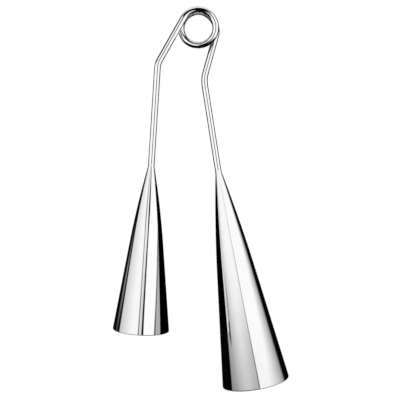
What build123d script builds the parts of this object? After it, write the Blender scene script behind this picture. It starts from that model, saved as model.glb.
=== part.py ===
"""Double hand bell (agogo): two steel cones welded on the ends of one bent spring rod.

Frame: origin at the centre of the coil eye at the top, +Z up, +X towards the large bell,
+Y along the eye's axis, from the small bell's leg to the large bell's leg.
Units: millimetres.
"""

from build123d import *
from math import atan, cos, hypot, pi, radians, sin, sqrt, tan
import os

# ---------------------------------------------------------------- driving dimensions

ROD_R = 3.175  # 1/4 inch round spring rod

# Coil eye. Both angles are measured in the XZ plane, from +X towards +Z.
COIL_R = 16.9  # centreline
COIL_PITCH = 7.6  # advance along +Y in each turn
SMALL_LEAN = 28.9  # the upper run of the small leg leans this far from vertical
COIL_START = 180.0 - SMALL_LEAN  # where the small leg runs into the coil
COIL_END = 60.0  # where the large leg starts to open out of it, on the second turn
COIL_SWEEP = 360.0 + COIL_START - COIL_END  # the coil winds down through this angle

# The bells: mouth and apex centres, as (x, y, z). The small bell is in line with its leg,
# so its apex follows from its length.
SMALL_MOUTH = (-56.0, -4.0, -294.9)
SMALL_LENGTH = 157.1
SMALL_MOUTH_R = 27.4
SMALL_CROWN = 74.0  # length of the domed stretch below the apex
SMALL_HALF_ANGLE = radians(7.45)  # of the straight cone below the crown
SMALL_APEX_R = 3.6  # where the weld runs out on the rod
LARGE_APEX = (20.35, 6.4, -144.15)
LARGE_MOUTH = (56.3, 5.0, -347.3)
LARGE_MOUTH_R = 33.2
LARGE_CROWN = 98.0
LARGE_HALF_ANGLE = radians(7.25)
LARGE_APEX_R = 3.7
SHEET = 1.1  # thickness of the bell sheet
BORE_GAP = 0.05  # between the rod's end and the sheet at the apex

# The legs
SMALL_UPPER = 51.1  # straight run from the coil to the knee's corner
SMALL_KNEE_R = 20.0
LARGE_RUN_OUT = 14.4  # from the end of the coil to the corner of the wide bend that opens it
LARGE_KNEE = (5.3, 7.1, -48.9)
LARGE_KNEE_R = 30.0
NECK_ABOVE = 8.0  # the large leg turns onto its bell's axis this far above the apex
NECK_R = 400.0
ROD_END_R = 2.95  # the rod is turned down where it enters a bell
ROD_INSIDE = 22.0  # the rod reaches this far inside each bell

# Welds
SEAM_WIDTH = 1.6
SEAM_PROUD = 0.25

# ---------------------------------------------------------------- derived

BORE_R = ROD_END_R + BORE_GAP
COIL_TURNS = COIL_SWEEP / 360.0
COIL_HEIGHT = COIL_PITCH * COIL_TURNS
RISE = atan(COIL_PITCH / (2 * pi * COIL_R))  # the coil's rise angle


def coil_end(angle, height):
    """Point on the coil's centreline and its direction of winding, at an angle in degrees."""
    a = radians(angle)
    point = Vector(COIL_R * cos(a), height, COIL_R * sin(a))
    along = Vector(sin(a) * cos(RISE), sin(RISE), -cos(a) * cos(RISE))
    return point, along


def bent_path(points, radii):
    """A wire of straight runs through the points, with a tangent arc at each inner corner.

    A radius of None gives the arc that starts at the beginning of its run.
    """
    edges = []
    start = points[0]
    for before, corner, after, radius in zip(points, points[1:], points[2:], radii):
        d_in = (corner - before).normalized()
        d_out = (after - corner).normalized()
        half_turn = tan(radians(d_in.get_angle(d_out)) / 2)
        if radius is None:
            reach = (corner - start).length
            radius = reach / half_turn
        else:
            reach = radius * half_turn
            edges.append(Line(start, corner - d_in * reach))
        first = corner - d_in * reach
        last = corner + d_out * reach
        inward = (d_out - d_in).normalized()
        middle = corner + inward * (hypot(reach, radius) - radius)
        edges.append(ThreePointArc(first, middle, last))
        start = last
    return Wire(edges + [Line(start, points[-1])])


def rod_along(path):
    """Round rod swept along a wire."""
    plane = Plane(origin=path @ 0, z_dir=path % 0)
    return sweep(plane * Circle(ROD_R), path=path)


class Bell:
    """Outline of one bell: a straight cone with a domed crown, in (radius, distance) terms."""

    def __init__(self, apex, mouth, mouth_r, crown, half_angle, apex_r):
        self.apex = apex
        self.axis = (mouth - apex).normalized()
        self.length = (mouth - apex).length
        self.mouth_r = mouth_r
        self.crown = crown
        self.half_angle = half_angle
        self.crown_r = mouth_r - (self.length - crown) * tan(half_angle)
        # the crown's circle touches the cone at its foot and passes through the apex edge
        chord = (self.crown_r - apex_r, crown)
        sag = abs(chord[0] * cos(half_angle) - chord[1] * sin(half_angle))
        self.arc_r = hypot(*chord) ** 2 / (2 * sag)
        self.centre = (
            self.crown_r - self.arc_r * cos(half_angle),
            crown + self.arc_r * sin(half_angle),
        )
        # the sheet starts where its inside just clears the rod
        inner_arc = self.arc_r - SHEET
        self.sheet_start = self.centre[1] - sqrt(inner_arc**2 - (BORE_R - self.centre[0]) ** 2)

    def crown_radius(self, distance, offset=0.0):
        """Radius of the crown at a distance from the apex, with the surface offset outwards."""
        reach = self.arc_r + offset
        return self.centre[0] + sqrt(reach**2 - (distance - self.centre[1]) ** 2)

    def side(self, offset, start, end):
        """Edges of one side of the sheet, from the apex end to the mouth."""
        lift = offset / cos(self.half_angle)
        foot = (
            self.crown_r + offset * cos(self.half_angle),
            self.crown - offset * sin(self.half_angle),
        )
        halfway = (start + foot[1]) / 2
        arc = ThreePointArc(
            (self.crown_radius(start, offset), 0, start),
            (self.crown_radius(halfway, offset), 0, halfway),
            (foot[0], 0, foot[1]),
        )
        end_r = self.mouth_r + lift - (self.length - end) * tan(self.half_angle)
        return [arc, Line((foot[0], 0, foot[1]), (end_r, 0, end))]

    def turned(self, outer, inner, start, end):
        """A shell of revolution between two offsets of the outside surface."""
        outside = self.side(outer, start, end)
        inside = self.side(inner, start, end)
        loop = Wire(
            outside
            + inside
            + [Line(outside[0] @ 0, inside[0] @ 0), Line(outside[1] @ 1, inside[1] @ 1)]
        )
        return revolve(Face(loop), axis=Axis.Z)

    def place(self, local):
        """Puts a shape made about +Z, with the apex at the origin, where the bell hangs."""
        side = Vector(self.axis.Z, 0, -self.axis.X).normalized()
        return Plane(origin=self.apex, x_dir=side, z_dir=self.axis) * local

    def seam_slot(self):
        """Box that holds the gap between the sheet's two edges, at the back of the bell."""
        reach = 2 * self.mouth_r
        slot = Box(SEAM_WIDTH, reach, 2 * self.length)
        slot = Pos(0, reach / 2 * self.back_sign(), self.length / 2) * slot
        return slot - Cylinder(BORE_R, 4 * self.length)

    def back_sign(self):
        """+1 if the placed bell's local +Y points to the back."""
        side = Vector(self.axis.Z, 0, -self.axis.X).normalized()
        return 1 if self.axis.cross(side).Y > 0 else -1

    def shell(self):
        blank = self.turned(0.0, -SHEET, self.sheet_start, self.length)
        return self.place(blank - self.seam_slot())

    def seam_weld(self):
        bead = self.turned(SEAM_PROUD, -SHEET - SEAM_PROUD, self.sheet_start, self.length)
        return self.place(bead & self.seam_slot())

    def apex_weld(self):
        """Ring that closes the sheet onto the rod, dressed flush with the crown."""
        top = self.sheet_start
        outside = ThreePointArc(
            (self.crown_radius(0.0), 0, 0),
            (self.crown_radius(top / 2), 0, top / 2),
            (self.crown_radius(top), 0, top),
        )
        loop = Wire(
            [
                outside,
                Line(outside @ 1, (ROD_END_R, 0, top)),
                Line((ROD_END_R, 0, top), (ROD_END_R, 0, 0)),
                Line((ROD_END_R, 0, 0), outside @ 0),
            ]
        )
        return self.place(revolve(Face(loop), axis=Axis.Z))


def rod_into(bell, points, radii):
    """Rod along a bent path that ends at a bell's apex, with its turned-down end inside the bell."""
    end = Cylinder(ROD_END_R, ROD_INSIDE, align=(Align.CENTER, Align.CENTER, Align.MIN))
    return rod_along(bent_path(points + [bell.apex], radii)) + bell.place(end)


def handle_coil():
    """The coil of the rod, which is both the spring and the hanging eye."""
    helix = Helix(pitch=COIL_PITCH, height=COIL_HEIGHT, radius=COIL_R)
    section = Plane(origin=helix @ 0, z_dir=helix % 0) * Circle(ROD_R)
    turns = sweep(section, path=helix, is_frenet=True)
    start = radians(COIL_START)
    seat = Plane(
        origin=(0, -COIL_HEIGHT / 2, 0),
        x_dir=(cos(start), 0, sin(start)),
        z_dir=(0, 1, 0),
    )
    return seat * turns


def small_knee():
    """Corner between the two straight runs of the small bell's leg."""
    start, along = coil_end(COIL_START, -COIL_HEIGHT / 2)
    return start, start - along * SMALL_UPPER


def small_leg(bell):
    """The leg from the front end of the coil into the small bell."""
    start, knee = small_knee()
    return rod_into(bell, [start, knee], [SMALL_KNEE_R])


def large_leg(bell):
    """The leg from the back end of the coil into the large bell."""
    start, along = coil_end(COIL_END, COIL_HEIGHT / 2)
    opening = start + along * LARGE_RUN_OUT
    neck = bell.apex - bell.axis * NECK_ABOVE
    points = [start, opening, Vector(*LARGE_KNEE), neck]
    return rod_into(bell, points, [None, LARGE_KNEE_R, NECK_R])


def small_outline():
    """The small bell, hung in line with the lower run of its leg."""
    mouth = Vector(*SMALL_MOUTH)
    upwards = (small_knee()[1] - mouth).normalized()
    apex = mouth + upwards * SMALL_LENGTH
    return Bell(apex, mouth, SMALL_MOUTH_R, SMALL_CROWN, SMALL_HALF_ANGLE, SMALL_APEX_R)


def large_outline():
    apex, mouth = Vector(*LARGE_APEX), Vector(*LARGE_MOUTH)
    return Bell(apex, mouth, LARGE_MOUTH_R, LARGE_CROWN, LARGE_HALF_ANGLE, LARGE_APEX_R)


def make_nodes():
    small = small_outline()
    large = large_outline()
    return {
        "handle_coil": handle_coil(),
        "small_leg": small_leg(small),
        "large_leg": large_leg(large),
        "small_bell": small.shell(),
        "large_bell": large.shell(),
        "small_apex_weld": small.apex_weld(),
        "large_apex_weld": large.apex_weld(),
        "small_seam_weld": small.seam_weld(),
        "large_seam_weld": large.seam_weld(),
    }


os.makedirs("parts", exist_ok=True)
for name, shape in make_nodes().items():
    export_step(shape, f"parts/{name}.step")
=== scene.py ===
"""Looks of the double hand bell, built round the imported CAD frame. Units: metres.

Frame: origin at the centre of the coil eye, +Z up, +X towards the large bell, and the
camera looks along +Y.
"""

from math import atan, ceil, cos, hypot, pi, radians, sin, sqrt, tan

import bpy
import numpy as np
from mathutils import Matrix, Vector


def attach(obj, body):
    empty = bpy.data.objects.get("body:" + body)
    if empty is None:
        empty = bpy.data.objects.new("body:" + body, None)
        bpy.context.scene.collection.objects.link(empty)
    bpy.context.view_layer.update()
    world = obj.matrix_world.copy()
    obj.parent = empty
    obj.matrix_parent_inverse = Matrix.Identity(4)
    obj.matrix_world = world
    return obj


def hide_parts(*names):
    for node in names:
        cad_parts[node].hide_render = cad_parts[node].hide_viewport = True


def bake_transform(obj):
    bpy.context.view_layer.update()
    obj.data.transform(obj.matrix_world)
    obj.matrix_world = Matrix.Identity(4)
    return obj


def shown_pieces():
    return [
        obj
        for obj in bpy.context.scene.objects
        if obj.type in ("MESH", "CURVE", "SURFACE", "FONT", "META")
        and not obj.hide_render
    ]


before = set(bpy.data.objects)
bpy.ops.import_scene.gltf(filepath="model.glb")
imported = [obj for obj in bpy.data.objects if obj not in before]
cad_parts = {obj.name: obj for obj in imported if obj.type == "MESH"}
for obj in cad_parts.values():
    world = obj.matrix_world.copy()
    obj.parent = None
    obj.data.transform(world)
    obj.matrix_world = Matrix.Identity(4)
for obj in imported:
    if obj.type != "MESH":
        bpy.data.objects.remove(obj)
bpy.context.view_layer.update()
MM = 0.001

# ---------------------------------------------------------------- dimensions, in millimetres

ROD_R = 3.175
COIL_R = 16.9
COIL_PITCH = 7.6
COIL_START = 151.1
COIL_END = 60.0
COIL_SWEEP = 360.0 + COIL_START - COIL_END
BLEND_SWEEP = 90.0  # this much of the coil, at each end, is a piece of its own

SMALL_MOUTH = (-56.0, -4.0, -294.9)
SMALL_LENGTH = 157.1
SMALL_MOUTH_R = 27.4
SMALL_CROWN = 74.0
SMALL_HALF_ANGLE = radians(7.45)
SMALL_APEX_R = 3.6
LARGE_APEX = (20.35, 6.4, -144.15)
LARGE_MOUTH = (56.3, 5.0, -347.3)
LARGE_MOUTH_R = 33.2
LARGE_CROWN = 98.0
LARGE_HALF_ANGLE = radians(7.25)
LARGE_APEX_R = 3.7
RIM_LENGTH = 1.1  # the rim's edge is rounded over this length
SHEET = 1.1
BORE_GAP = 0.05

SMALL_UPPER = 51.1
SMALL_KNEE_R = 20.0
LARGE_RUN_OUT = 14.4
LARGE_KNEE = (5.3, 7.1, -48.9)
LARGE_KNEE_R = 30.0
NECK_ABOVE = 8.0
NECK_R = 400.0
ROD_END_R = 2.95
ROD_INSIDE = 22.0

SEAM_WIDTH = 1.6
SEAM_PROUD = 0.16
SEAM_INSIDE_PROUD = 0.25
SEAM_RIPPLE = 1.3  # length of one ripple of the weld
SEAM_TOP = 0.4  # the bead starts this far below the sheet's top
SEAM_FOOT = 0.75  # and ends this far above the mouth
SEAM_FADE = 4.0  # it sinks into the sheet over this length at each end
SEAM_SUNK = 0.03  # its edges lie this far under the skin
SEAM_POINTS = 11  # points across each face of the bead
WELD_LEAD = 5.0  # the apex weld runs this far up the rod
WELD_SOFT = 0.18  # how softly it leaves the rod

# how finely the meshes are cut
ROD_SIDES = 64
BELL_SIDES = 256
RING_SIDES = 96
RING_STEPS = 40
RIM_STEPS = 20
CROWN_STEP = 0.8
CONE_STEP = 2.0
ARC_STEP = 0.45
RUN_STEP = 5.0
COIL_STEP = 1.0  # degrees
CLOSE = 0.01  # a distance too small to see

RISE = atan(COIL_PITCH / (2 * pi * COIL_R))
COIL_HEIGHT = COIL_PITCH * COIL_SWEEP / 360.0


# ---------------------------------------------------------------- meshes


def new_piece(name, verts, faces, materials, face_slots=None, normals=None, place=None):
    """A smooth mesh object from points in millimetres."""
    mesh = bpy.data.meshes.new(name)
    mesh.from_pydata([tuple(v) for v in np.asarray(verts) * MM], [], faces)
    for material in materials:
        mesh.materials.append(material)
    if face_slots is not None:
        mesh.polygons.foreach_set("material_index", face_slots)
    mesh.polygons.foreach_set("use_smooth", [True] * len(mesh.polygons))
    mesh.update()
    if normals is not None:
        mesh.normals_split_custom_set_from_vertices([tuple(n) for n in normals])
    piece = bpy.data.objects.new(name, mesh)
    bpy.context.scene.collection.objects.link(piece)
    if place is not None:
        piece.matrix_world = place
    return piece


def tube_faces(rings, sides):
    """Quads between neighbouring closed rings."""
    faces = []
    for ring in range(rings - 1):
        low = ring * sides
        for side in range(sides):
            after = (side + 1) % sides
            faces.append((low + side, low + after, low + sides + after, low + sides + side))
    return faces


def carried_frames(ways, side):
    """Side vectors carried along a path without twist, one pair for each direction."""
    pairs = []
    side = (side - ways[0] * side.dot(ways[0])).normalized()
    for before, way in zip([ways[0]] + ways[:-1], ways):
        side = before.rotation_difference(way) @ side
        side = (side - way * side.dot(way)).normalized()
        pairs.append((side, way.cross(side)))
    return pairs


def swept_rod(name, places, ways, radii, side, material, tip=False):
    """Round rod through the places, with a radius at each; it keeps its length in an attribute.

    With a tip, the last ring is repeated under a flat face that closes the rod.
    """
    verts, lengths, normals = [], [], []
    frames = carried_frames(ways, side)
    length = 0.0
    for index, (place, radius, (u, v)) in enumerate(zip(places, radii, frames)):
        if index:
            length += (place - places[index - 1]).length
        for step in range(ROD_SIDES):
            angle = 2 * pi * step / ROD_SIDES
            out = u * cos(angle) + v * sin(angle)
            verts.append(place + out * radius)
            normals.append(out)
            lengths.append((length * MM, radius * MM * cos(angle), radius * MM * sin(angle)))
    faces = tube_faces(len(places), ROD_SIDES)
    if tip:
        last = len(verts)
        verts += verts[-ROD_SIDES:]
        lengths += lengths[-ROD_SIDES:]
        normals += [ways[-1]] * ROD_SIDES
        faces.append(tuple(range(last, last + ROD_SIDES)))
    piece = new_piece(name, verts, faces, [material], normals=normals)
    mark = piece.data.attributes.new("rod_place", "FLOAT_VECTOR", "POINT")
    mark.data.foreach_set("vector", np.array(lengths, np.float32).ravel())
    return piece


def coil_point(angle, turned):
    """Centreline place and direction of winding, after the coil has turned so many degrees."""
    a = radians(angle)
    height = -COIL_HEIGHT / 2 + COIL_PITCH * turned / 360.0
    place = Vector((COIL_R * cos(a), height, COIL_R * sin(a)))
    way = Vector((sin(a) * cos(RISE), sin(RISE), -cos(a) * cos(RISE)))
    return place, way


def coil_stretch(start, end):
    """Places and directions between two amounts of turning."""
    steps = ceil((end - start) / COIL_STEP)
    found = [
        coil_point(COIL_START - turned, turned)
        for turned in (start + (end - start) * i / steps for i in range(steps + 1))
    ]
    return [p for p, _ in found], [w for _, w in found]


def bent_path(points, radii):
    """Places and directions along straight runs, with a tangent arc at each inner corner.

    A radius of None gives the arc that starts at the beginning of its run.
    """
    places, ways = [], []

    def run(start, end):
        way = (end - start).normalized()
        steps = max(1, ceil((end - start).length / RUN_STEP))
        for i in range(steps):
            places.append(start.lerp(end, i / steps))
            ways.append(way)

    start = points[0]
    for before, corner, after, radius in zip(points, points[1:], points[2:], radii):
        d_in = (corner - before).normalized()
        d_out = (after - corner).normalized()
        turn = d_in.angle(d_out)
        reach = (corner - start).length if radius is None else radius * tan(turn / 2)
        radius = reach / tan(turn / 2)
        first = corner - d_in * reach
        if (first - start).length > 1e-6:
            run(start, first)
        inward = (d_out - d_in * d_in.dot(d_out)).normalized()
        centre = first + inward * radius
        steps = max(2, ceil(radius * turn / ARC_STEP))
        for i in range(steps):
            a = turn * i / steps
            places.append(centre - inward * radius * cos(a) + d_in * radius * sin(a))
            ways.append(d_in * cos(a) + inward * sin(a))
        start = corner + d_out * reach
    run(start, points[-1])
    places.append(points[-1])
    ways.append((points[-1] - start).normalized())
    return places, ways


class Bell:
    """Outline of one bell: a straight cone with a domed crown, in (radius, distance) terms."""

    def __init__(self, apex, mouth, mouth_r, crown, half_angle, apex_r):
        self.apex = apex
        self.axis = (mouth - apex).normalized()
        self.length = (mouth - apex).length
        self.mouth_r = mouth_r
        self.crown = crown
        self.half_angle = half_angle
        self.crown_r = mouth_r - (self.length - crown) * tan(half_angle)
        chord = (self.crown_r - apex_r, crown)
        sag = abs(chord[0] * cos(half_angle) - chord[1] * sin(half_angle))
        self.arc_r = hypot(*chord) ** 2 / (2 * sag)
        self.centre = (
            self.crown_r - self.arc_r * cos(half_angle),
            crown + self.arc_r * sin(half_angle),
        )
        inner_arc = self.arc_r - SHEET
        bore_r = ROD_END_R + BORE_GAP
        self.sheet_start = self.centre[1] - sqrt(inner_arc**2 - (bore_r - self.centre[0]) ** 2)

    def skin(self, distance, offset=0.0):
        """Radius and outward direction (radial, axial) of the skin at a distance down the axis."""
        foot = self.crown - offset * sin(self.half_angle)
        if distance < foot:
            reach = self.arc_r + offset
            down = distance - self.centre[1]
            radius = self.centre[0] + sqrt(reach**2 - down**2)
            return radius, ((radius - self.centre[0]) / reach, down / reach)
        lift = offset / cos(self.half_angle)
        radius = self.mouth_r + lift - (self.length - distance) * tan(self.half_angle)
        return radius, (cos(self.half_angle), -sin(self.half_angle))

    def stops(self, start, end):
        """Distances for the rings: close together on the crown, wider on the straight cone."""
        crown = np.linspace(start, self.crown, max(2, ceil((self.crown - start) / CROWN_STEP) + 1))
        cone = np.linspace(self.crown, end, max(2, ceil((end - self.crown) / CONE_STEP) + 1))
        return list(crown) + list(cone[1:])

    def matrix(self):
        """Puts a piece made about +Z, apex at the origin and back towards +Y, in its place."""
        back = Vector((0, 1, 0))
        y = (back - self.axis * back.dot(self.axis)).normalized()
        x = y.cross(self.axis)
        turn = Matrix((x, y, self.axis)).transposed().to_4x4()
        return Matrix.Translation(self.apex * MM) @ turn


def lathed(name, outline, materials, slots, place, sides=BELL_SIDES):
    """Closed ring of revolution from a closed outline of (radius, distance, normal) points."""
    angles = np.arange(sides) * 2 * pi / sides
    verts, normals = [], []
    for radius, distance, (out, down) in outline:
        for c, s in zip(np.cos(angles), np.sin(angles)):
            verts.append((radius * c, radius * s, distance))
            normals.append((out * c, out * s, down))
    faces, face_slots = [], []
    count = len(outline)
    for ring in range(count):
        low, high = ring * sides, (ring + 1) % count * sides
        for side in range(sides):
            after = (side + 1) % sides
            faces.append((low + side, low + after, high + after, high + side))
            face_slots.append(slots[ring])
    return new_piece(name, verts, faces, materials, face_slots, normals, place)


def bell_piece(name, bell, materials):
    """The sheet: outside skin, rounded rim and duller inside skin."""
    half = SHEET / 2
    t = Vector((sin(bell.half_angle), cos(bell.half_angle)))
    n = Vector((cos(bell.half_angle), -sin(bell.half_angle)))
    outline, slots = [], []
    edge = bell.length - RIM_LENGTH * t[1]
    for distance in bell.stops(bell.sheet_start, edge):
        radius, out = bell.skin(distance)
        outline.append((radius, distance, out))
        slots.append(0)
    rim = Vector((bell.skin(edge)[0], edge)) - n * half
    for step in range(1, RIM_STEPS):
        a = pi * step / RIM_STEPS
        place = rim + n * half * cos(a) + t * RIM_LENGTH * sin(a)
        out = (n * cos(a) / half + t * sin(a) / RIM_LENGTH).normalized()
        outline.append((place[0], place[1], tuple(out)))
        slots.append(0)
    inside_end = (rim - n * half)[1]
    for distance in reversed(bell.stops(bell.sheet_start, inside_end)):
        radius, out = bell.skin(distance, -SHEET)
        outline.append((radius, distance, (-out[0], -out[1])))
        slots.append(1)
    return lathed(name, outline, materials, slots, bell.matrix())


def apex_weld(name, bell, material):
    """Dressed ring that closes the sheet onto the rod and runs out softly along it."""
    top = bell.sheet_start
    start = -WELD_LEAD

    def radius_at(distance):
        rise = bell.skin(distance)[0] - ROD_R
        soft = WELD_SOFT * (1 - max(0.0, distance / top)) ** 2
        return ROD_R + 0.5 * (rise + sqrt(rise**2 + soft**2))

    outline = []
    for distance in np.linspace(start, top, RING_STEPS):
        if distance > top - CLOSE:
            radius, out = bell.skin(distance)
        else:
            radius = radius_at(distance)
            slope = (radius_at(distance + CLOSE) - radius) / CLOSE
            out = (1 / hypot(1, slope), -slope / hypot(1, slope))
        outline.append((radius, distance, out))
    for distance in (top, start):
        outline.append((ROD_END_R + CLOSE, distance, (-1.0, 0.0)))
    return lathed(name, outline, [material], [0] * len(outline), bell.matrix(), RING_SIDES)


def seam_weld(name, bell, material):
    """Bead down the back of a bell: dressed almost flush outside, rippled inside."""
    across = np.linspace(-1.0, 1.0, SEAM_POINTS)
    start, end = bell.sheet_start + SEAM_TOP, bell.length - SEAM_FOOT
    count = ceil((end - start) / (SEAM_RIPPLE / 8))
    verts = []
    for i in range(count + 1):
        distance = start + (end - start) * i / count
        ends = min(1.0, (distance - start) / SEAM_FADE, (end - distance) / SEAM_FADE)
        wave = 0.5 + 0.5 * cos(2 * pi * distance / SEAM_RIPPLE)
        outside = bell.skin(distance)[0]
        inside = bell.skin(distance, -SHEET)[0]
        half = SEAM_WIDTH / 2 * min(1.0, 0.45 + 0.05 * outside)
        proud = SEAM_PROUD * (0.7 + 0.3 * wave) * ends
        inside_proud = SEAM_INSIDE_PROUD * (0.45 + 0.55 * wave) * ends
        rises = [(w, outside + proud * (1 - w * w) - SEAM_SUNK) for w in across]
        rises += [(w, inside - inside_proud * (1 - w * w) + SEAM_SUNK) for w in across[::-1]]
        for w, radius in rises:
            x = w * half
            verts.append((x, sqrt(max(radius**2 - x * x, 0.0)), distance))
    sides = 2 * len(across)
    faces = [tuple(reversed(f)) for f in tube_faces(count + 1, sides)]
    faces.append(tuple(range(sides)))
    faces.append(tuple(reversed(range(count * sides, (count + 1) * sides))))
    return new_piece(name, verts, faces, [material], place=bell.matrix())


# ---------------------------------------------------------------- materials


class Nodes:
    """Short-hand for building a material's node tree."""

    def __init__(self, name):
        self.material = bpy.data.materials.new(name)
        self.material.use_nodes = True
        self.tree = self.material.node_tree
        self.shader = self.tree.nodes["Principled BSDF"]

    def add(self, kind, inputs=(), **settings):
        node = self.tree.nodes.new(kind)
        for key, value in settings.items():
            setattr(node, key, value)
        for socket, value in inputs:
            if isinstance(value, bpy.types.NodeSocket):
                self.tree.links.new(value, node.inputs[socket])
            else:
                node.inputs[socket].default_value = value
        return node

    def link(self, output, socket):
        self.tree.links.new(output, self.shader.inputs[socket])

    def noise(self, place, scale, size, detail=3.0, rough=0.5):
        """Noise from 0 to 1, on coordinates stretched by a scale for each axis."""
        mapped = self.add("ShaderNodeMapping", [("Vector", place), ("Scale", scale)])
        noise = self.add(
            "ShaderNodeTexNoise",
            [
                ("Vector", mapped.outputs["Vector"]),
                ("Scale", size),
                ("Detail", detail),
                ("Roughness", rough),
            ],
        )
        return noise.outputs["Fac"]

    def fit(self, value, low, high, new_low, new_high):
        node = self.add(
            "ShaderNodeMapRange",
            [
                ("Value", value),
                ("From Min", low),
                ("From Max", high),
                ("To Min", new_low),
                ("To Max", new_high),
            ],
        )
        return node.outputs["Result"]

    def total(self, first, second, operation="ADD"):
        return self.add(
            "ShaderNodeMath", [(0, first), (1, second)], operation=operation
        ).outputs["Value"]


def chrome(name, tint, rough, lines, line_size, line_depth, soft_depth, rod=False, grain=0.0):
    """Plated metal: faint polishing lines, slow waviness, smudges and fine scratches."""
    n = Nodes(name)
    if rod:
        place = n.add("ShaderNodeAttribute", attribute_name="rod_place").outputs["Vector"]
    else:
        place = n.add("ShaderNodeTexCoord").outputs["Object"]
    fine = n.noise(place, lines, line_size, 4.0, 0.6)
    slow = n.noise(place, (1, 1, 1), 45.0, 2.0, 0.45)
    smudge = n.noise(place, (1, 1, 1), 160.0, 5.0, 0.62)
    specks = n.noise(place, (1, 1, 1), 2600.0, 2.0, 0.5)
    colour = n.add("ShaderNodeValToRGB", [("Fac", smudge)])
    colour.color_ramp.elements[0].position = 0.35
    colour.color_ramp.elements[0].color = (*[c * 0.975 for c in tint], 1)
    colour.color_ramp.elements[1].position = 0.62
    colour.color_ramp.elements[1].color = (*tint, 1)
    n.link(colour.outputs["Color"], "Base Color")
    spread = n.total(
        n.fit(smudge, 0.4, 0.75, rough * 0.75, rough * 1.4),
        n.fit(fine, 0.35, 0.75, 0.0, rough * 0.5),
    )
    pits = n.fit(specks, 0.68, 0.8, 0.0, rough * 0.8)
    n.link(n.total(spread, pits), "Roughness")
    n.shader.inputs["Metallic"].default_value = 1.0
    heights = n.total(
        n.total(fine, line_depth, "MULTIPLY"), n.total(slow, soft_depth, "MULTIPLY")
    )
    if grain:
        rippled = n.noise(place, (1, 1, 1), 900.0, 3.0, 0.55)
        heights = n.total(heights, n.total(rippled, grain, "MULTIPLY"))
    bump = n.add("ShaderNodeBump", [("Height", heights), ("Strength", 1.0), ("Distance", 1.0)])
    n.link(bump.outputs["Normal"], "Normal")
    return n.material


BRIGHT = (0.90, 0.905, 0.91)
DULL = (0.72, 0.725, 0.73)
WELDED = (0.86, 0.865, 0.87)
plated_sheet = chrome("plated_sheet", BRIGHT, 0.035, (1, 1, 60), 40.0, 4e-7, 6e-6)
sheet_inside = chrome("sheet_inside", DULL, 0.2, (1, 1, 40), 60.0, 4e-6, 2e-5, grain=6e-6)
plated_rod = chrome("plated_rod", BRIGHT, 0.03, (1, 60, 60), 40.0, 4e-7, 2e-6, rod=True)
plated_weld = chrome("plated_weld", WELDED, 0.07, (1, 1, 1), 700.0, 4e-6, 6e-6, grain=5e-6)


# ---------------------------------------------------------------- the object

front_place, front_way = coil_point(COIL_START, 0.0)
knee = front_place - front_way * SMALL_UPPER
small_mouth = Vector(SMALL_MOUTH)
small_apex = small_mouth + (knee - small_mouth).normalized() * SMALL_LENGTH
small = Bell(small_apex, small_mouth, SMALL_MOUTH_R, SMALL_CROWN, SMALL_HALF_ANGLE, SMALL_APEX_R)
large = Bell(
    Vector(LARGE_APEX),
    Vector(LARGE_MOUTH),
    LARGE_MOUTH_R,
    LARGE_CROWN,
    LARGE_HALF_ANGLE,
    LARGE_APEX_R,
)

# unit vector along the coil's axis: every rod's rings start on that side
AXIS = Vector((0, 1, 0))


def leg_piece(name, bell, points, radii):
    """A leg of the rod, from the coil into its bell, with its turned-down end inside."""
    places, ways = bent_path(points + [bell.apex], radii)
    sizes = [ROD_R] * len(places)
    for reach in (CLOSE / 10, ROD_INSIDE):
        places.append(bell.apex + bell.axis * reach)
        ways.append(bell.axis)
        sizes.append(ROD_END_R)
    return swept_rod(name, places, ways, sizes, AXIS, plated_rod, tip=True)


small_leg = leg_piece("small_leg_rod", small, [front_place, knee], [SMALL_KNEE_R])
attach(small_leg, "small_side")
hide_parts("small_leg")

rear_place, rear_way = coil_point(COIL_END, COIL_SWEEP)
large_leg = leg_piece(
    "large_leg_rod",
    large,
    [
        rear_place,
        rear_place + rear_way * LARGE_RUN_OUT,
        Vector(LARGE_KNEE),
        large.apex - large.axis * NECK_ABOVE,
    ],
    [None, LARGE_KNEE_R, NECK_R],
)
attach(large_leg, "large_side")
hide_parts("large_leg")


def coil_piece(name, start, end):
    places, ways = coil_stretch(start, end)
    piece = swept_rod(name, places, ways, [ROD_R] * len(places), AXIS, plated_rod)
    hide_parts("handle_coil")
    return piece


# The two ends of the coil are pieces of their own, left in place and joined to no body. Each runs
# back from the leg's first ring along the rod there, and stops short of the ring a quarter turn on.
coil_front = coil_piece("coil_front", 0.0, BLEND_SWEEP)
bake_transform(coil_front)
coil_middle = coil_piece("coil_middle", BLEND_SWEEP, COIL_SWEEP - BLEND_SWEEP)
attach(coil_middle, "coil")
coil_rear = coil_piece("coil_rear", COIL_SWEEP - BLEND_SWEEP, COIL_SWEEP)
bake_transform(coil_rear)

for size, bell, body in (("small", small, "small_side"), ("large", large, "large_side")):
    sheet = bell_piece(f"{size}_bell_sheet", bell, [plated_sheet, sheet_inside])
    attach(sheet, body)
    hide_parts(f"{size}_bell")
    ring = apex_weld(f"{size}_apex_ring", bell, plated_sheet)
    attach(ring, body)
    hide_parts(f"{size}_apex_weld")
    seam = seam_weld(f"{size}_seam_bead", bell, plated_weld)
    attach(seam, body)
    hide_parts(f"{size}_seam_weld")


# ---------------------------------------------------------------- studio

REFLECTED = 0.90  # share of the light that the plating reflects
WALL_BOTTOM = -0.9
WALL_FINE_TOP = 1.3  # above this the walls' rows of points lie further apart
CARD_X = -0.027
FLOOR_REACH = 6.0
FLOOR_Z = -0.42
CAMERA = (0.0015, -0.6992, -0.1685)
LENS = 64.21
DARK = (0.002, 0.002, 0.002, 1)


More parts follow.
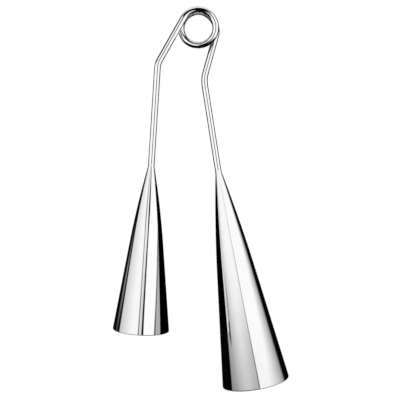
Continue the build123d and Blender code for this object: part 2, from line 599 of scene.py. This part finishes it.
def emission(name, attribute=None, see_through=False):
    """Glowing material, plain white or by an attribute; rays can also pass through it."""
    material = bpy.data.materials.new(name)
    material.use_nodes = True
    material.cycles.emission_sampling = "NONE"
    tree = material.node_tree
    tree.nodes.clear()
    glow = tree.nodes.new("ShaderNodeEmission")
    light = glow.outputs["Emission"]
    if attribute:
        level = tree.nodes.new("ShaderNodeAttribute")
        level.attribute_name = attribute
        tree.links.new(level.outputs["Fac"], glow.inputs["Color"])
    if see_through:
        clear = tree.nodes.new("ShaderNodeBsdfTransparent")
        both = tree.nodes.new("ShaderNodeAddShader")
        tree.links.new(light, both.inputs[0])
        tree.links.new(clear.outputs["BSDF"], both.inputs[1])
        light = both.outputs["Shader"]
    out = tree.nodes.new("ShaderNodeOutputMaterial")
    tree.links.new(light, out.inputs["Surface"])
    return material


def step_up(x, low, high):
    """Smooth step from 0 at low to 1 at high."""
    t = np.clip((x - low) / (high - low), 0, 1)
    return t * t * (3 - 2 * t)


def grid_of_light(name, x, y, z, level, see_through):
    """Mesh through a grid of points, which glows by the level at each."""
    rows, width = x.shape
    faces = [
        (row * width + c, row * width + c + 1, (row + 1) * width + c + 1, (row + 1) * width + c)
        for row in range(rows - 1)
        for c in range(width - 1)
    ]
    mesh = bpy.data.meshes.new(name)
    mesh.from_pydata([tuple(v) for v in np.stack([x, y, z], -1).reshape(-1, 3)], [], faces)
    glow = mesh.attributes.new("glow", "FLOAT", "POINT")
    glow.data.foreach_set("value", np.clip(level, 0, 2).astype(np.float32).ravel())
    mesh.materials.append(emission(name, "glow", see_through))
    grid = bpy.data.objects.new(name, mesh)
    bpy.context.scene.collection.objects.link(grid)
    return grid


def light_only(wall, lit):
    """Shows a wall in the reflections of some pieces, and nowhere else."""
    wall.visible_camera = False
    wall.visible_diffuse = False
    wall.visible_shadow = False
    receivers = bpy.data.collections.new(wall.name + "_receivers")
    for piece in lit:
        receivers.objects.link(piece)
    wall.light_linking.receiver_collection = receivers


def tent(name, radius, top, level, lit):
    """Round wall of light about the object: level(azimuth, height)."""
    azimuth = np.linspace(-180, 180, 721)
    fine = np.linspace(WALL_BOTTOM, WALL_FINE_TOP, 110)
    coarse = np.geomspace(WALL_FINE_TOP, top, 40)[1:]
    # the wall turns in at its foot and becomes a floor
    foot = [WALL_BOTTOM - 0.02, WALL_BOTTOM - 0.01]
    height = np.concatenate([foot, fine, coarse])
    reach = np.ones(len(height)) * radius
    reach[0] = 0.01 * radius
    a, z = np.meshgrid(azimuth, height)
    r = np.radians(a)
    x, y = reach[:, None] * np.sin(r), -reach[:, None] * np.cos(r)
    wall = grid_of_light(name, x, y, z, level(a, z), True)
    light_only(wall, lit)


def line(a, centre, half, edge):
    """1 along a line of some half width in azimuth, falling to 0 over its soft edge."""
    return 1 - step_up(abs(a - centre), half, half + edge)


def back_panel(a, z, low, high):
    """Slim panel straight behind the object, which fades out between two heights."""
    slim = step_up(abs(a), 165, 168) * step_up(z, -0.85, -0.6)
    return 0.9 * slim * (1 - step_up(z, low, high))


def around(a, z):
    """What the bells' walls share: the slim panel at the back, and a floor inside the walls."""
    return back_panel(a, z, 0.9, 1.3) + 0.15 * (z < WALL_BOTTOM)


def overhead(z):
    """The bells' walls darken towards the floor and the ceiling."""
    return step_up(z, -0.8, -0.6) * (1 - step_up(z, 0.8, 1.15))


# Each level function gives brightness by azimuth, in degrees from the camera's side towards +X,
# and by height, in metres. The numbers in them are the edges and levels of the panels.

def small_bell_level(a, z):
    """A dim panel at the left, a dark and a grey line at the middle, a white panel at the right."""
    high = step_up(z, -0.25, 0.15)
    left_edge = np.clip(-93 - (z + 0.16) * 22, -97, -89)
    dim = np.clip((-35 - a) / 60, 0, 1) * (0.40 - 0.55 * np.clip(z + 0.275, 0, 0.35))
    left = step_up(a, left_edge - 1.5, left_edge + 1.5) * (1 - step_up(a, -6, 0)) * (0.93 - dim)
    middle = step_up(a, -6, 0) * (1 - step_up(a, 9, 12)) * (0.62 + 0.3 * high)
    # a dark flag leans across the right panel's far edge, with a dimmer strip beyond it
    flag = np.clip(63 + (z + 0.31) * 165, 60, 98)
    right = step_up(a, 9, 12) * (1 - 0.93 * step_up(a, flag - 6, flag - 3)) * 0.98
    beyond = 0.36 * step_up(a, flag + 2, flag + 4) * (1 - step_up(a, 88, 93))
    widen = step_up(z, -0.05, 0.12)
    dark = line(a, 7 + 5 * high, 2.4 + 4.0 * widen, 3.0)
    grey = line(a, -8.5 - 7 * high, 1.2 + 2.5 * widen, 3.5)
    front = (left + middle + right + beyond) * (1 - dark) * (1 - 0.72 * grey)
    front = front * (1 - step_up(a, 92, 98))
    streak = 0.28 * np.exp(-(((a + 110) / 5.5) ** 2) - ((z + 0.19) / 0.085) ** 2)
    return (front * overhead(z) + around(a, z)) / REFLECTED + streak


def rod_level(a, z):
    """The rods show one dark line, where the two front panels meet, and a pale ceiling."""
    rise = step_up(z, -0.55, -0.3) * (1 - step_up(z, 0.75, 1.15))
    left_end = -94 + 30 * step_up(z, 0.3, 0.55)
    sides = step_up(a, left_end, left_end + 4) * (1 - step_up(a, 90, 94))
    gap = 12 + 34 * step_up(z, 0.4, 0.9)
    front = sides * (1 - line(a, 4.0, gap - 3, 6.0)) * 0.97
    ceiling = np.interp(abs(a), [0, 60, 95, 180], [1.6, 1.6, 0.75, 1.6])
    pale = 0.93 * step_up(z, ceiling, ceiling + 0.25)
    return (front * rise + back_panel(a, z, 0, 0.1) + pale) / REFLECTED


def large_bell_level(a, z):
    """A panel at the left that greys towards its foot, a thin dark line and a white panel."""
    low = 1 - step_up(z, -0.3, -0.12)
    heights = [-0.8, -0.55, -0.45, -0.375, -0.325, -0.275, -0.225, -0.15, 0.0]
    levels = [0.2, 0.42, 0.57, 0.68, 0.77, 0.84, 0.89, 0.92, 0.94]
    across = np.interp(a, [-95, -86, -70, -58, -42, -28], [0.66, 0.7, 0.8, 0.92, 1.0, 0.98])
    across = across + (1 - across) * (1 - low) * 0.5
    toward_slit = 1 - (0.16 + 0.26 * low) * step_up(a, -34 + 20 * (1 - low), 12)
    left_end = -94.5 + 2 * low
    left = step_up(a, left_end, left_end + 4) * np.interp(z, heights, levels)
    left = left * across * toward_slit
    centre = np.interp(z, [-0.3, -0.225, -0.15, -0.05, 0.05], [10.8, 8.6, 6.6, 4.4, 0.8])
    dark = line(a, centre, 0.9, 2.2) * (0.62 - 0.1 * (1 - low))
    switch = step_up(a, centre + 1.5, centre + 3.0)
    turn = np.interp(z, [-0.275, -0.175, -0.05, 0.15], [42, 55, 66, 80])
    fall = np.clip((a - turn) / (101 - turn), 0, 1)
    edge = 1 - step_up(a, 98, 112 - 10 * step_up(z, 0, 0.2))
    right = (0.96 - 0.06 * low) * (1 - 0.62 * fall) * edge
    # a painted dark reflection of the small bell's edge: a dark line down the left panel, which
    # ends level with the small bell's mouth
    painted_small_bell_reflection = line(a, -77, 2.6, 3.6)
    painted_small_bell_reflection = painted_small_bell_reflection * step_up(z, -0.475, -0.455) * (1 - step_up(z, -0.36, -0.30))
    front = left * (1 - switch) * (1 - dark) * (1 - 0.88 * painted_small_bell_reflection) + right * switch
    return (front * overhead(z) + around(a, z)) / REFLECTED


def named(*words):
    """The pieces whose names start with one of the words."""
    return [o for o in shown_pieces() if any(o.name.startswith(w) for w in words)]


SMALL_BELL_PIECES = named("small_bell", "small_apex", "small_seam")
LARGE_BELL_PIECES = named("large_bell", "large_apex", "large_seam")
ROD_PIECES = named("coil", "small_leg", "large_leg")
tent("wall_for_small_bell", 0.92, 1.31, small_bell_level, SMALL_BELL_PIECES)
tent("wall_for_large_bell", 0.925, 1.31, large_bell_level, LARGE_BELL_PIECES)
tent("wall_for_rod", 0.93, 12.0, rod_level, ROD_PIECES)

# A card beside the small bell is black towards it: a painted dark reflection in the small bell,
# where the large bell would show. The large bell sees a pale strip on the card, a painted
# reflection of the small bell, where the small bell would stand in its reflection.
depths = np.concatenate([np.linspace(-0.0223, -0.008, 60), [0.03, 0.06]])
across, up = np.meshgrid(depths, np.linspace(-0.305, -0.15, 30))
forward = across + (up + 0.29) * 0.096
# the pale strip is a painted reflection of the small bell, glowing only for the large bell
painted_reflection_band = 0.8 * step_up(across, -0.0212, -0.0204) * (1 - step_up(across, -0.0125, -0.0105))
card = grid_of_light("card", np.full(up.shape, CARD_X), forward, up, painted_reflection_band, False)
light_only(card, LARGE_BELL_PIECES)

floor_mesh = bpy.data.meshes.new("floor")
corners = [(-1, -1), (1, -1), (1, 1), (-1, 1)]
floor_mesh.from_pydata([(FLOOR_REACH * x, FLOOR_REACH * y, 0) for x, y in corners], [], [range(4)])
floor_mesh.materials.append(emission("pale_floor"))
floor = bpy.data.objects.new("floor", floor_mesh)
floor.location = (0, 0, FLOOR_Z)
bpy.context.scene.collection.objects.link(floor)
floor.visible_glossy = False

world = bpy.data.worlds.new("studio")
bpy.context.scene.world = world
world.use_nodes = True
tree = world.node_tree
path = tree.nodes.new("ShaderNodeLightPath")
background = tree.nodes["Background"]
shade = tree.nodes.new("ShaderNodeMix")
shade.data_type = "RGBA"
tree.links.new(path.outputs["Is Glossy Ray"], shade.inputs["Factor"])
shade.inputs[6].default_value = (1, 1, 1, 1)
shade.inputs[7].default_value = DARK
tree.links.new(shade.outputs[2], background.inputs["Color"])

camera_data = bpy.data.cameras.new("camera")
camera_data.sensor_width = 36.0
camera_data.lens = LENS
camera = bpy.data.objects.new("camera", camera_data)
camera.location = CAMERA
camera.rotation_euler = (pi / 2, 0, 0)
bpy.context.scene.collection.objects.link(camera)
bpy.context.scene.camera = camera
bpy.context.scene.view_settings.view_transform = "Standard"
